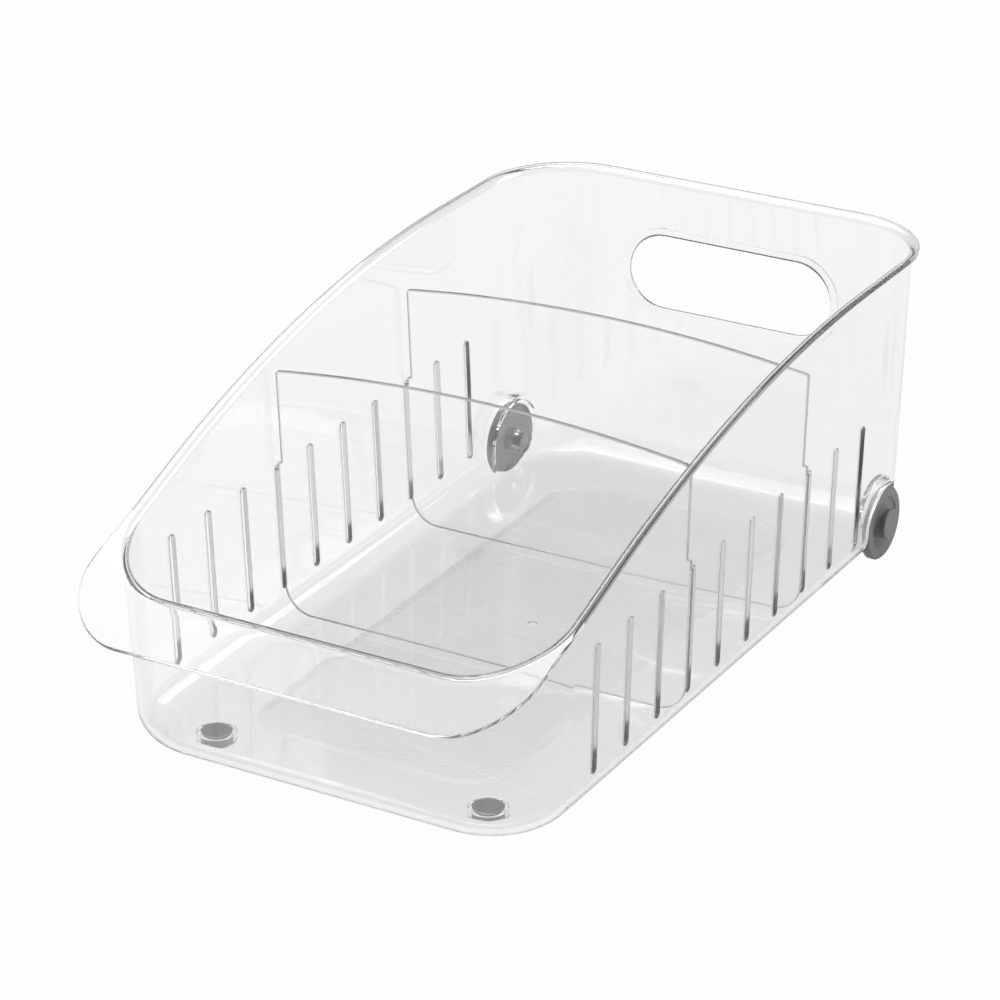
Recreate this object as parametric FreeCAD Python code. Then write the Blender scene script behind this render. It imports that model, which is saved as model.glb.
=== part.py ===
import FreeCAD, Part
import math
import os

# Roller storage tray: a clear moulded bin with loose dividers, two rear wheels and two front feet.
# Millimetres and degrees. The tray stands on Z = 0, its low front towards -Y and its tall rear
# towards +Y, with X = 0 as its plane of symmetry.

# Bin body, measured outside the walls at ground level
BODY_WIDTH = 188.7
BODY_LENGTH = 342.8
CORNER_RADIUS = 33.4
WALL_LEAN = 1.95
WALL = 2.0
FLOOR = 2.2
GROUND_GAP = 4.8
BOTTOM_RADIUS = 12.6

# Rim seen from the side: level at the rear, a long fall, a short easing and a drooping front lip
RIM_HEIGHT = 139.5
RIM_LEVEL = 72.6
SWEEP_SLOPE = 21.3
EASE_LENGTH = 35.0
EASE_SLOPE = 18.0
LIP_LENGTH = 41.2
LIP_SLOPE = 35.1
LIP_REACH = 26.1
LIP_CORNER_RADIUS = 31.0
RIM_OVERHANG = 3.0
RIM_THICKNESS = 2.0
RIM_INNER_BEVEL = 2.1

# Rows of slots through the side walls
SLOT_COUNT = 10
SLOT_ROW_FRONT = 50.9
SLOT_ROW_REAR = 63.3
SLOT_ABOVE_FLOOR = 12.0
SLOT_HEIGHT = 54.8
SLOT_CLEARANCE = 0.6

# Dividers, each held by its tabs in one pair of slots, counted from the front
FRONT_DIVIDER_INDEX = 4
REAR_DIVIDER_INDEX = 8
DIVIDER_THICKNESS = 2.0
DIVIDER_ABOVE_SLOT = 42.7
DIVIDER_CROWN = 6.5
DIVIDER_TOP_ROUND = 1.5
DIVIDER_FLOOR_GAP = 1.7
DIVIDER_SIDE_GAP = 0.3
DIVIDER_CORNER_EASE = 1.9
SHOULDER_RISE = 2.3
SHOULDER_STEP = 1.8
TAB_INSET = 0.3
TAB_SEAT_GAP = 0.3
DIVIDER_LIFT = 0.8

# Hand hole in the rear wall, with a bead round it on the outside
HOLE_WIDTH = 98.4
HOLE_HEIGHT = 33.3
HOLE_BELOW_RIM = 43.5
BEAD_WIDTH = 3.6
BEAD_RISE = 0.8

# Frosted floor panel, a shallow recess in the underside with a gate mark at its middle
PANEL_MARGIN = 37.0
PANEL_CORNER_RADIUS = 21.0
PANEL_BEVEL = 1.5
PANEL_DEPTH = 0.4
GATE_RADIUS = 2.0
GATE_DEPTH = 0.3

# Rear wheels in their arched wells
WHEEL_RADIUS = 16.3
WHEEL_WIDTH = 4.0
WHEEL_FROM_REAR = 31.6
TREAD_BEVEL = 0.7
DISH_RADIUS = 11.8
DISH_STEP = 0.5
DISH_DEPTH = 0.9
HUB_RADIUS = 6.3
HUB_RISE = 2.0
HUB_FLARE = 1.6
COLLAR_RADIUS = 5.0
WELL_INSET = 5.2
WELL_GAP = 2.2
WELL_WALL = 2.0
WHEEL_SIDE_GAP = 0.6
HUB_SEAT_GAP = 0.3
RUNNING_CLEARANCE = 0.08

# Headed axle pins, pressed into a boss behind each well
PIN_RADIUS = 2.5
PIN_SEAT_DEPTH = 5.0
PIN_HEAD_RADIUS = 7.0
PIN_HEAD_HEIGHT = 1.0
PIN_HEAD_BEVEL = 0.35
BOSS_WALL = 2.5
BOSS_END = 1.0
PRESS = 0.02

# Front feet, soft plugs pressed into sockets under the floor
FOOT_RADIUS = 6.25
FOOT_FROM_SIDE = 32.85
FOOT_FROM_FRONT = 29.2
FOOT_PROUD = 1.0
FOOT_BEVEL = 0.6
SOCKET_WALL = 1.6
SOCKET_ROOF = 1.0

# Values worked out from the sizes above
DRAFT = math.tan(math.radians(WALL_LEAN))
FLOOR_TOP = GROUND_GAP + FLOOR
REAR_REACH = DRAFT * RIM_HEIGHT + RIM_OVERHANG
MIDDLE_Y = (LIP_REACH - REAR_REACH) / 2
FRONT_Y = MIDDLE_Y - BODY_LENGTH / 2
BACK_Y = MIDDLE_Y + BODY_LENGTH / 2
LIP_FRONT_Y = FRONT_Y - LIP_REACH
SLOT_BOTTOM = FLOOR_TOP + SLOT_ABOVE_FLOOR
SLOT_TOP = SLOT_BOTTOM + SLOT_HEIGHT
SLOT_WIDTH = DIVIDER_THICKNESS + 2 * SLOT_CLEARANCE
SLOT_PITCH = (BODY_LENGTH - SLOT_ROW_FRONT - SLOT_ROW_REAR) / (SLOT_COUNT - 1)
WHEEL_Y = BACK_Y - WHEEL_FROM_REAR
WELL_X = BODY_WIDTH / 2 - WELL_INSET
WELL_RADIUS = WHEEL_RADIUS + WELL_GAP
WHEEL_IN_X = WELL_X + WHEEL_SIDE_GAP
WHEEL_OUT_X = WHEEL_IN_X + WHEEL_WIDTH
PIN_END_X = WELL_X - PIN_SEAT_DEPTH
HUB_END_X = WHEEL_OUT_X + HUB_RISE
PIN_HEAD_X = HUB_END_X + HUB_SEAT_GAP
FOOT_X = BODY_WIDTH / 2 - FOOT_FROM_SIDE
FOOT_Y = FRONT_Y + FOOT_FROM_FRONT
FOOT_TOP = FLOOR_TOP - SOCKET_ROOF
HOLE_Z = RIM_HEIGHT - HOLE_BELOW_RIM

# Reach of the cutting shapes, well clear of the tray on every side
FAR = BODY_LENGTH + RIM_HEIGHT

# Rim curve: where each arc begins, and the arcs' radii and centres, as (Y, Z)
SWEEP_ANGLE = math.radians(SWEEP_SLOPE)
EASE_ANGLE = math.radians(EASE_SLOPE)
LIP_ANGLE = math.radians(LIP_SLOPE)
SWEEP_Y = BACK_Y - RIM_LEVEL
LIP_Y = LIP_FRONT_Y + LIP_LENGTH
EASE_Y = LIP_Y + EASE_LENGTH
SWEEP_RADIUS = (SWEEP_Y - EASE_Y) / math.sin(SWEEP_ANGLE)
EASE_RADIUS = EASE_LENGTH / (math.sin(SWEEP_ANGLE) - math.sin(EASE_ANGLE))
LIP_RADIUS = LIP_LENGTH / (math.sin(LIP_ANGLE) - math.sin(EASE_ANGLE))
SWEEP_CENTRE_Z = RIM_HEIGHT - SWEEP_RADIUS
EASE_CENTRE_Y = EASE_Y - EASE_RADIUS * math.sin(SWEEP_ANGLE)
EASE_CENTRE_Z = SWEEP_CENTRE_Z + (SWEEP_RADIUS + EASE_RADIUS) * math.cos(SWEEP_ANGLE)
LIP_CENTRE_Y = LIP_Y + LIP_RADIUS * math.sin(EASE_ANGLE)
LIP_CENTRE_Z = EASE_CENTRE_Z - (EASE_RADIUS + LIP_RADIUS) * math.cos(EASE_ANGLE)


def point(x, y, z):
    return FreeCAD.Vector(x, y, z)


def line(start, end):
    return Part.LineSegment(start, end).toShape()


def arc(start, via, end):
    return Part.Arc(start, via, end).toShape()


def face_of(edges):
    return Part.Face(Part.Wire(Part.__sortEdges__(edges)))


def both_sides(solid):
    return [solid, solid.mirror(point(0, 0, 0), point(1, 0, 0))]


def slot_y(number):
    return FRONT_Y + SLOT_ROW_FRONT + (number - 1) * SLOT_PITCH


def inner_x(z):
    """Inside face of the right wall at a height."""
    return BODY_WIDTH / 2 + DRAFT * z - WALL


def on_arc(centre_y, centre_z, radius, angle):
    """Point of a rim arc where the rim falls forwards at an angle; hollow arcs have radius below 0."""
    return point(-FAR, centre_y - radius * math.sin(angle), centre_z + radius * math.cos(angle))


def rim_arc(centre_y, centre_z, radius, start, end):
    ends = [on_arc(centre_y, centre_z, radius, angle) for angle in (start, (start + end) / 2, end)]
    return arc(*ends)


def rim_region(drop, far_z):
    """All that lies between the rim curve, lowered square to itself by drop, and a far height."""
    sweep = rim_arc(SWEEP_Y, SWEEP_CENTRE_Z, SWEEP_RADIUS - drop, 0.0, SWEEP_ANGLE)
    ease = rim_arc(EASE_CENTRE_Y, EASE_CENTRE_Z, -EASE_RADIUS - drop, SWEEP_ANGLE, EASE_ANGLE)
    lip = rim_arc(LIP_CENTRE_Y, LIP_CENTRE_Z, LIP_RADIUS - drop, EASE_ANGLE, LIP_ANGLE)
    back = point(-FAR, FAR, RIM_HEIGHT - drop)
    lip_end = on_arc(LIP_CENTRE_Y, LIP_CENTRE_Z, LIP_RADIUS - drop, LIP_ANGLE)
    front = lip_end + point(0, -LIP_LENGTH * math.cos(LIP_ANGLE), -LIP_LENGTH * math.sin(LIP_ANGLE))
    far_front = point(-FAR, front.y, far_z)
    far_back = point(-FAR, FAR, far_z)
    edges = [
        line(back, on_arc(SWEEP_Y, SWEEP_CENTRE_Z, SWEEP_RADIUS - drop, 0.0)),
        sweep,
        ease,
        lip,
        line(lip_end, front),
        line(front, far_front),
        line(far_front, far_back),
        line(far_back, back),
    ]
    return face_of(edges).extrude(point(2 * FAR, 0, 0))


def rounded_outline(half_width, front, back, front_radius, back_radius, z):
    """Closed plan outline, the same on both sides, with its own corner radius at each end."""
    corners = [
        (half_width - front_radius, front + front_radius, front_radius, -90),
        (half_width - back_radius, back - back_radius, back_radius, 0),
        (back_radius - half_width, back - back_radius, back_radius, 90),
        (front_radius - half_width, front + front_radius, front_radius, 180),
    ]
    arcs = []
    for x, y, radius, first in corners:
        turns = [math.radians(first + step) for step in (0, 45, 90)]
        arcs.append([point(x + radius * math.cos(t), y + radius * math.sin(t), z) for t in turns])
    edges = []
    for index, ends in enumerate(arcs):
        edges.append(arc(*ends))
        edges.append(line(ends[2], arcs[(index + 1) % len(arcs)][0]))
    return Part.Wire(edges)


def body_outline(grow, z):
    """Outline of the leaning walls at a height, grown outwards."""
    out = DRAFT * z + grow
    radius = CORNER_RADIUS + out
    return rounded_outline(BODY_WIDTH / 2 + out, FRONT_Y - out, BACK_Y + out, radius, radius, z)


def body_block(grow, low, high):
    return Part.makeLoft([body_outline(grow, low), body_outline(grow, high)], True, True)


def rim_outline(z):
    """Outline of the flange: it leans with the walls at the sides and rear, its lip ends upright."""
    out = DRAFT * z + RIM_OVERHANG
    return rounded_outline(
        BODY_WIDTH / 2 + out, LIP_FRONT_Y, BACK_Y + out, LIP_CORNER_RADIUS, CORNER_RADIUS + out, z
    )


def lowest_edges(solid):
    low = min(vertex.Z for vertex in solid.Vertexes)
    edges = []
    for edge in solid.Edges:
        middle = edge.valueAt((edge.FirstParameter + edge.LastParameter) / 2)
        if abs(middle.z - low) < 1e-6:
            edges.append(edge)
    return edges


def round_bottom(solid, radius):
    return solid.makeFillet(radius, lowest_edges(solid))


def edges_between(solid, first, second):
    """Edges of a solid whose middles lie on the skins of two other solids."""
    found = []
    for edge in solid.Edges:
        middle = Part.Vertex(edge.valueAt((edge.FirstParameter + edge.LastParameter) / 2))
        gaps = [skin.distToShape(middle)[0] for skin in (first.Shells[0], second.Shells[0])]
        if max(gaps) < 1e-4:
            found.append(edge)
    return found


def upright_obround(thickness, bottom, top, y, x_reach):
    """Bar across the tray with a round-ended section standing upright."""
    radius = thickness / 2
    low = bottom + radius
    high = top - radius
    edges = [
        line(point(-x_reach, y - radius, low), point(-x_reach, y - radius, high)),
        arc(point(-x_reach, y - radius, high), point(-x_reach, y, top), point(-x_reach, y + radius, high)),
        line(point(-x_reach, y + radius, high), point(-x_reach, y + radius, low)),
        arc(point(-x_reach, y + radius, low), point(-x_reach, y, bottom), point(-x_reach, y - radius, low)),
    ]
    return face_of(edges).extrude(point(2 * x_reach, 0, 0))


def hand_prism(grow):
    """Round-ended prism through the rear wall, grown all round the hand hole."""
    radius = HOLE_HEIGHT / 2 + grow
    reach = (HOLE_WIDTH - HOLE_HEIGHT) / 2
    start = BACK_Y - CORNER_RADIUS
    low = HOLE_Z - radius
    high = HOLE_Z + radius
    edges = [
        line(point(-reach, start, low), point(reach, start, low)),
        arc(point(reach, start, low), point(reach + radius, start, HOLE_Z), point(reach, start, high)),
        line(point(reach, start, high), point(-reach, start, high)),
        arc(point(-reach, start, high), point(-reach - radius, start, HOLE_Z), point(-reach, start, low)),
    ]
    return face_of(edges).extrude(point(0, 2 * CORNER_RADIUS, 0))


def wheel_arch(radius, x):
    """Arch over the right wheel with straight legs to below the ground, from x outwards."""
    front = WHEEL_Y - radius
    back = WHEEL_Y + radius
    crown = point(x, WHEEL_Y, WHEEL_RADIUS + radius)
    edges = [
        arc(point(x, front, WHEEL_RADIUS), crown, point(x, back, WHEEL_RADIUS)),
        line(point(x, back, WHEEL_RADIUS), point(x, back, -WHEEL_RADIUS)),
        line(point(x, back, -WHEEL_RADIUS), point(x, front, -WHEEL_RADIUS)),
        line(point(x, front, -WHEEL_RADIUS), point(x, front, WHEEL_RADIUS)),
    ]
    return face_of(edges).extrude(point(FAR, 0, 0))


def on_axle(radius, start_x, end_x):
    """Cylinder on the right wheel's axis."""
    return Part.makeCylinder(radius, end_x - start_x, point(start_x, WHEEL_Y, WHEEL_RADIUS), point(1, 0, 0))


def foot_cylinder(radius, low, high):
    return Part.makeCylinder(radius, high - low, point(FOOT_X, FOOT_Y, low))


def floor_panel():
    """Bevelled recess under the floor."""
    wires = []
    for inset, z in ((0.0, GROUND_GAP), (PANEL_BEVEL, GROUND_GAP + PANEL_DEPTH)):
        margin = PANEL_MARGIN + inset
        radius = PANEL_CORNER_RADIUS - inset
        half_width = BODY_WIDTH / 2 - margin
        wires.append(rounded_outline(half_width, FRONT_Y + margin, BACK_Y - margin, radius, radius, z))
    return Part.makeLoft(wires, True, True)


def make_bin():
    """The one-piece clear moulding."""
    high = RIM_HEIGHT + CORNER_RADIUS
    body = round_bottom(body_block(0.0, GROUND_GAP, high), BOTTOM_RADIUS)
    flange = Part.makeLoft([rim_outline(GROUND_GAP), rim_outline(high)], True, True)
    cavity = round_bottom(body_block(-WALL, FLOOR_TOP, high + FLOOR), BOTTOM_RADIUS - WALL)
    above = rim_region(0.0, FAR)
    below = rim_region(RIM_THICKNESS, -FAR)

    # Shell with its flange, bevelled round the mouth
    shell = body.fuse(flange.cut(below)).cut(above).cut(cavity).removeSplitter()
    shell = shell.makeChamfer(RIM_INNER_BEVEL, edges_between(shell, above, cavity))

    # Added material: wheel wells and pin bosses inside, hand hole bead and foot sockets outside
    well = wheel_arch(WELL_RADIUS + WELL_WALL, WELL_X - WELL_WALL).common(body)
    boss = on_axle(PIN_RADIUS + BOSS_WALL, PIN_END_X - BOSS_END, WELL_X)
    bead = hand_prism(BEAD_WIDTH).common(body_block(BEAD_RISE, FLOOR_TOP, RIM_HEIGHT)).cut(cavity)
    socket = foot_cylinder(FOOT_RADIUS + SOCKET_WALL, FOOT_PROUD, FLOOR_TOP - SOCKET_ROOF)
    added = both_sides(well) + both_sides(boss) + both_sides(socket) + [bead]
    tray = shell.fuse(added)

    # Removed material
    hollow = wheel_arch(WELL_RADIUS, WELL_X)
    bore = on_axle(PIN_RADIUS - PRESS, PIN_END_X, WELL_X + WELL_WALL)
    plug = foot_cylinder(FOOT_RADIUS - PRESS, 0.0, FOOT_TOP)
    slots = []
    for number in range(1, SLOT_COUNT + 1):
        slots.append(upright_obround(SLOT_WIDTH, SLOT_BOTTOM, SLOT_TOP, slot_y(number), FAR))
    gate = Part.makeCylinder(GATE_RADIUS, PANEL_DEPTH + GATE_DEPTH, point(0, MIDDLE_Y, GROUND_GAP))
    removed = both_sides(hollow) + both_sides(bore) + both_sides(plug)
    removed = removed + slots + [hand_prism(0.0), floor_panel(), gate]
    return tray.cut(removed).removeSplitter()


def make_divider(number):
    """Flat panel with a crowned top and a tab at each side."""
    bottom = FLOOR_TOP + DIVIDER_FLOOR_GAP
    shoulder = SLOT_TOP + SHOULDER_RISE
    edge_top = SLOT_TOP + DIVIDER_ABOVE_SLOT
    low_x = inner_x(bottom) - DIVIDER_SIDE_GAP
    shoulder_x = inner_x(shoulder) - DIVIDER_SIDE_GAP
    upper_x = shoulder_x - SHOULDER_STEP
    top_x = inner_x(edge_top) - DIVIDER_SIDE_GAP - SHOULDER_STEP
    y = slot_y(number) - DIVIDER_THICKNESS / 2
    side = [(low_x, bottom), (shoulder_x, shoulder), (upper_x, shoulder), (top_x, edge_top)]
    right = [point(x, y, z) for x, z in side]
    left = [point(-x, y, z) for x, z in side]
    edges = [line(left[0], right[0])]
    for start, end in zip(right, right[1:]):
        edges.append(line(start, end))
    for start, end in zip(left, left[1:]):
        edges.append(line(start, end))
    edges.append(arc(right[3], point(0, y, edge_top + DIVIDER_CROWN), left[3]))
    panel = face_of(edges).extrude(point(0, DIVIDER_THICKNESS, 0))

    # Rounded corners, the lower ones to clear the bin's rounded bottom
    for z, radius in ((bottom, BOTTOM_RADIUS - WALL + DIVIDER_CORNER_EASE), (edge_top, DIVIDER_TOP_ROUND)):
        corners = []
        for edge in panel.Edges:
            if len(edge.Vertexes) == 2 and all(abs(v.Z - z) < 1e-6 for v in edge.Vertexes):
                if abs(edge.Vertexes[0].X - edge.Vertexes[1].X) < 1e-6:
                    corners.append(edge)
        panel = panel.makeFillet(radius, corners)

    # Tabs that reach into the slots, with room to lift before they meet the slots' tops
    tab_bottom = SLOT_BOTTOM + TAB_SEAT_GAP
    tab_top = SLOT_TOP - DIVIDER_LIFT - TAB_SEAT_GAP
    tabs = upright_obround(DIVIDER_THICKNESS, tab_bottom, tab_top, slot_y(number), FAR)
    tabs = tabs.common(body_block(-TAB_INSET, FLOOR_TOP, RIM_HEIGHT))
    return panel.fuse(tabs).removeSplitter()


def turned(profile):
    """Solid turned about the right wheel's axis from (x, radius) corners."""
    corners = [point(x, WHEEL_Y, WHEEL_RADIUS + radius) for x, radius in profile]
    edges = [line(a, b) for a, b in zip(corners, corners[1:] + corners[:1])]
    return face_of(edges).revolve(point(0, WHEEL_Y, WHEEL_RADIUS), point(1, 0, 0), 360)


def edges_about(solid, radius, places):
    """Circular edges of one radius about the axle at the given X places."""
    edges = []
    for edge in solid.Edges:
        if hasattr(edge.Curve, "Radius") and abs(edge.Curve.Radius - radius) < 1e-6:
            if any(abs(edge.Curve.Center.x - x) < 1e-6 for x in places):
                edges.append(edge)
    return edges


def make_wheel():
    """Right wheel: a disc, dished outside round its flared hub, with a hub collar inside."""
    bore = PIN_RADIUS + RUNNING_CLEARANCE
    collar_x = WELL_X + HUB_SEAT_GAP
    dish_x = WHEEL_OUT_X - DISH_DEPTH
    wheel = turned([
        (collar_x, bore),
        (collar_x, COLLAR_RADIUS),
        (WHEEL_IN_X, COLLAR_RADIUS),
        (WHEEL_IN_X, WHEEL_RADIUS),
        (WHEEL_OUT_X, WHEEL_RADIUS),
        (WHEEL_OUT_X, DISH_RADIUS),
        (WHEEL_OUT_X - DISH_STEP, DISH_RADIUS - DISH_STEP),
        (dish_x, HUB_RADIUS),
        (HUB_END_X, HUB_RADIUS),
        (HUB_END_X, bore),
    ])
    wheel = wheel.makeChamfer(TREAD_BEVEL, edges_about(wheel, WHEEL_RADIUS, (WHEEL_IN_X, WHEEL_OUT_X)))
    return wheel.makeFillet(HUB_FLARE, edges_about(wheel, HUB_RADIUS, (dish_x,)))


def make_pin():
    """Right axle pin with its round head outside the wheel's hub."""
    head_end = PIN_HEAD_X + PIN_HEAD_HEIGHT
    pin = turned([
        (PIN_END_X, 0.0),
        (PIN_END_X, PIN_RADIUS),
        (PIN_HEAD_X, PIN_RADIUS),
        (PIN_HEAD_X, PIN_HEAD_RADIUS),
        (head_end, PIN_HEAD_RADIUS),
        (head_end, 0.0),
    ])
    return pin.makeChamfer(PIN_HEAD_BEVEL, edges_about(pin, PIN_HEAD_RADIUS, (head_end,)))


def make_foot():
    """Right foot, bevelled where it meets the ground."""
    foot = foot_cylinder(FOOT_RADIUS, 0.0, FOOT_TOP)
    return foot.makeChamfer(FOOT_BEVEL, lowest_edges(foot))


wheel_right, wheel_left = both_sides(make_wheel())
pin_right, pin_left = both_sides(make_pin())
foot_right, foot_left = both_sides(make_foot())
nodes = {
    "bin": make_bin(),
    "divider_front": make_divider(FRONT_DIVIDER_INDEX),
    "divider_rear": make_divider(REAR_DIVIDER_INDEX),
    "wheel_left": wheel_left,
    "wheel_right": wheel_right,
    "axle_pin_left": pin_left,
    "axle_pin_right": pin_right,
    "foot_left": foot_left,
    "foot_right": foot_right,
}

os.makedirs("parts", exist_ok=True)
for name, shape in nodes.items():
    box = shape.optimalBoundingBox(True, False)
    print(name, "solids", len(shape.Solids), "valid", shape.isValid(), "volume", round(shape.Volume, 1))
    print("  box", [round(v, 2) for v in (box.XMin, box.XMax, box.YMin, box.YMax, box.ZMin, box.ZMax)])
    shape.Solids[0].exportStep("parts/" + name + ".step")
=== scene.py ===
import math
import bmesh
import bpy
from mathutils import Matrix, Vector
from mathutils.geometry import delaunay_2d_cdt


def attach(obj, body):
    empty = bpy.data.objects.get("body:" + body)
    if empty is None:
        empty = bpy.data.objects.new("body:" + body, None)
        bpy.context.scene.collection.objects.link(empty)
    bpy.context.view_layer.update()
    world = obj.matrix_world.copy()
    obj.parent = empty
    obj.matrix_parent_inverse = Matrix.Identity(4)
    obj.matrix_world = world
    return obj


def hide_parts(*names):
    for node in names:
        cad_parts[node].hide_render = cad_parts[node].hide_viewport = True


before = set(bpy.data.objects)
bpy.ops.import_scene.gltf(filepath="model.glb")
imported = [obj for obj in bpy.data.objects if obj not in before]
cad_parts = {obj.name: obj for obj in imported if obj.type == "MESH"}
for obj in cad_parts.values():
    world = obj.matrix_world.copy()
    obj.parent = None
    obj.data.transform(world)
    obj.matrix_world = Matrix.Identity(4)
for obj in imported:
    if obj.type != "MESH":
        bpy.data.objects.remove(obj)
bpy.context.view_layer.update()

scene = bpy.context.scene

# Sizes of the tray in millimetres, the same as in its construction
HALF_WIDTH = 94.35
FRONT_Y = -162.225
BACK_Y = 180.575
CORNER = 33.4
LEAN = math.radians(1.95)
DRAFT = math.tan(LEAN)
WALL = 2.0
GROUND_GAP = 4.8
FLOOR_TOP = 7.0
BOTTOM_RADIUS = 12.6
RIM_HEIGHT = 139.5
RIM_OVERHANG = 3.0
RIM_THICKNESS = 2.0
LIP_FRONT_Y = FRONT_Y - 26.1
LIP_CORNER = 31.0
SLOT_FIRST_Y = -111.325
SLOT_PITCH = 25.4
SLOT_LOW = 19.0
SLOT_HIGH = 73.8
SLOT_WIDTH = 3.2
SLOT_COUNT = 10
HOLE_WIDTH = 98.4
HOLE_HEIGHT = 33.3
HOLE_Z = 96.0
WHEEL_Y = 148.975
WHEEL_RADIUS = 16.3
WELL_X = 89.15
WELL_RADIUS = 18.5
PANEL_MARGIN = 37.0
PANEL_CORNER = 21.0
FOOT_X = 61.5
FOOT_Y = -133.025
BOSS_RADIUS = 5.0
BOSS_INNER_X = 83.15
BOSS_OUTER_X = 88.15
BORE_RADIUS = 2.55
BORE_INNER_X = 84.1
BORE_OUTER_X = 95.0

# Dividers: heights, the play to the walls and slots, the roundings of the outline, and how far
# below a tab the corner's arc stops and how far from the sides the crown starts
DIVIDER_LOW = 8.7
TAB_LOW = 19.3
TAB_HIGH = 72.7
SHOULDER_HEIGHT = 76.1
DIVIDER_TOP = 116.5
DIVIDER_CROWN = 123.0
DIVIDER_PLAY = 0.3
TAB_FOOT_PLAY = 0.4
SHOULDER_STEP = 2.1
DIVIDER_CORNER = 12.5
TAB_ROUND = 0.9
TOP_ROUND = 1.5
DIVIDER_HALF_THICKNESS = 1.0
ARC_STOP = 0.6
CROWN_STOP = 2.0
FRONT_DIVIDER_SLOT = 4
REAR_DIVIDER_SLOT = 8

# Roundings of the moulded edges
RIM_INNER_ROUND = 3.8
RIM_OUTER_ROUND = 0.7
RIM_UNDER_ROUND = 2.0
SLOT_ROUND = 0.5
DIVIDER_ROUND = 0.5

# Profiles in millimetres, all from the outside or the edge inwards
# Bead and edges of the hand hole: distance from the opening, rise from the wall's outer face
HOLE_PROFILE = [(4.6, 0.0), (4.1, 0.06), (3.7, 0.25), (3.4, 0.48), (3.05, 0.7), (2.6, 0.8), (1.3, 0.8)]
HOLE_PROFILE += [(0.8, 0.7), (0.38, 0.4), (0.1, -0.05), (0.0, -0.55), (0.0, -0.8)]
HOLE_PROFILE += [(0.1, -1.26), (0.35, -1.65), (0.74, -1.9), (1.2, -2.0)]
# Soft edge of the floor panel: distance inside its outline, rise from the underside
PANEL_PROFILE = [(0.0, 0.0), (1.0, 0.02), (2.5, 0.1), (4.0, 0.18), (5.0, 0.2)]
# Gate mark in the middle of the panel: radius, rise from the underside
GATE_PROFILE = [(2.4, 0.2), (2.1, 0.25), (1.7, 0.42), (1.3, 0.5)]
# Socket of a foot: radius, height above the ground
SOCKET_PROFILE = [(8.45, 4.8), (8.1, 4.7), (7.92, 4.5), (7.85, 4.2), (7.85, 1.35), (7.75, 1.1), (7.5, 1.0)]
SOCKET_PROFILE += [(6.65, 1.0), (6.42, 1.1), (6.33, 1.35), (6.33, 5.85), (6.2, 6.05), (5.9, 6.1)]

# Steps of the meshes
FRONT_CORNER_STEPS = 24
REAR_CORNER_STEPS = 20
SIDE_STEPS = 69
END_STEPS = 16
INNER_STEPS = 8
BETWEEN_STEPS = 6
OUTER_STEPS = 4
HOLE_STEPS = 24
PANEL_CORNER_STEPS = 12
GATE_STEPS = 32
ROUND_STEPS = 48
SLOT_ROUND_STEPS = 4
CROWN_STEPS = 24
DIVIDER_ROUND_STEPS = 3
DIVIDER_CORNER_STEPS = 20
TAB_ROUND_STEPS = 4
TOP_ROUND_STEPS = 6
BOTTOM_STEPS = 8
SLOT_END_STEPS = 12

# Rounds that settle a height on the rim curve, the lip's first guess, and the reach of one point
SETTLE_ROUNDS = 12
LIP_ROUNDS = 4
LIP_GUESS = 75.0
SAME_POINT = 1e-6

# Rows of the rim section that form its outer edge, slightly matt along the two sides
RIM_EDGE_START = INNER_STEPS + 1 + BETWEEN_STEPS
RIM_EDGE_ROWS = range(RIM_EDGE_START, RIM_EDGE_START + 2 * OUTER_STEPS + 1)

# Tools that shape the wheel wells reach past the walls and below the ground
TOOL_END_X = 120.0
TOOL_LEG_Z = -20.0
CORE_TOP = 60.0

# Places in the bin's list of materials, and in a divider's
CLEAR = 0
FROSTED = 1
MATT = 2
DIVIDER_EDGE = 1

# Edges that bend by more than these degrees stay sharp; large faces lead in smooth shading
BIN_SHARP_ANGLE = 28
DIVIDER_SHARP_ANGLE = 40
NORMAL_WEIGHT = 60
METRES_PER_MILLIMETRE = 0.001

# Looks: the usual range of noise, the scales of clouds, the depths of waves and grain in metres,
# and the refraction and inner tint of the clear plastic
NOISE_LOW = 0.3
NOISE_HIGH = 0.7
CLEAR_CLOUD = 14.0
GREY_CLOUD = 90.0
FLOOR_CLOUD = 3.0
WAVE_DEPTH = 0.0005
GRAIN_DEPTH = 0.0002
REFRACTION = 1.5
INNER_TINT = (0.2, 0.2, 0.21, 1)

# Floor of the picture in metres, and what camera, transmitted and mirrored rays see of its white
FLOOR_REACH = 4.0
FLOOR_Z = -0.0002
FLOOR_SEEN = 0.97
FLOOR_THROUGH = 0.9
FLOOR_LEVEL = 0.97
FLOOR_GLOSSY = 0.6

# World: strength towards the camera's side and behind the tray, faded over this span of direction Y
WORLD_FRONT = 0.08
WORLD_BACK = 1.5
WORLD_FADE_START = -0.5
WORLD_FADE_END = 0.6

# Camera fitted to the photograph
SENSOR_WIDTH = 36.0
LENS = 139.778
CAMERA_RIGHT = Vector((0.864372, 0.502809, -0.006645))
CAMERA_DOWN = Vector((0.205883, -0.365925, -0.907585))
CAMERA_FORWARD = Vector((-0.458774, 0.783123, -0.419815))
CAMERA_EYE = Vector((0.71502, -1.2382, 0.72736))
LIGHT_BOUNCES = 200

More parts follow.
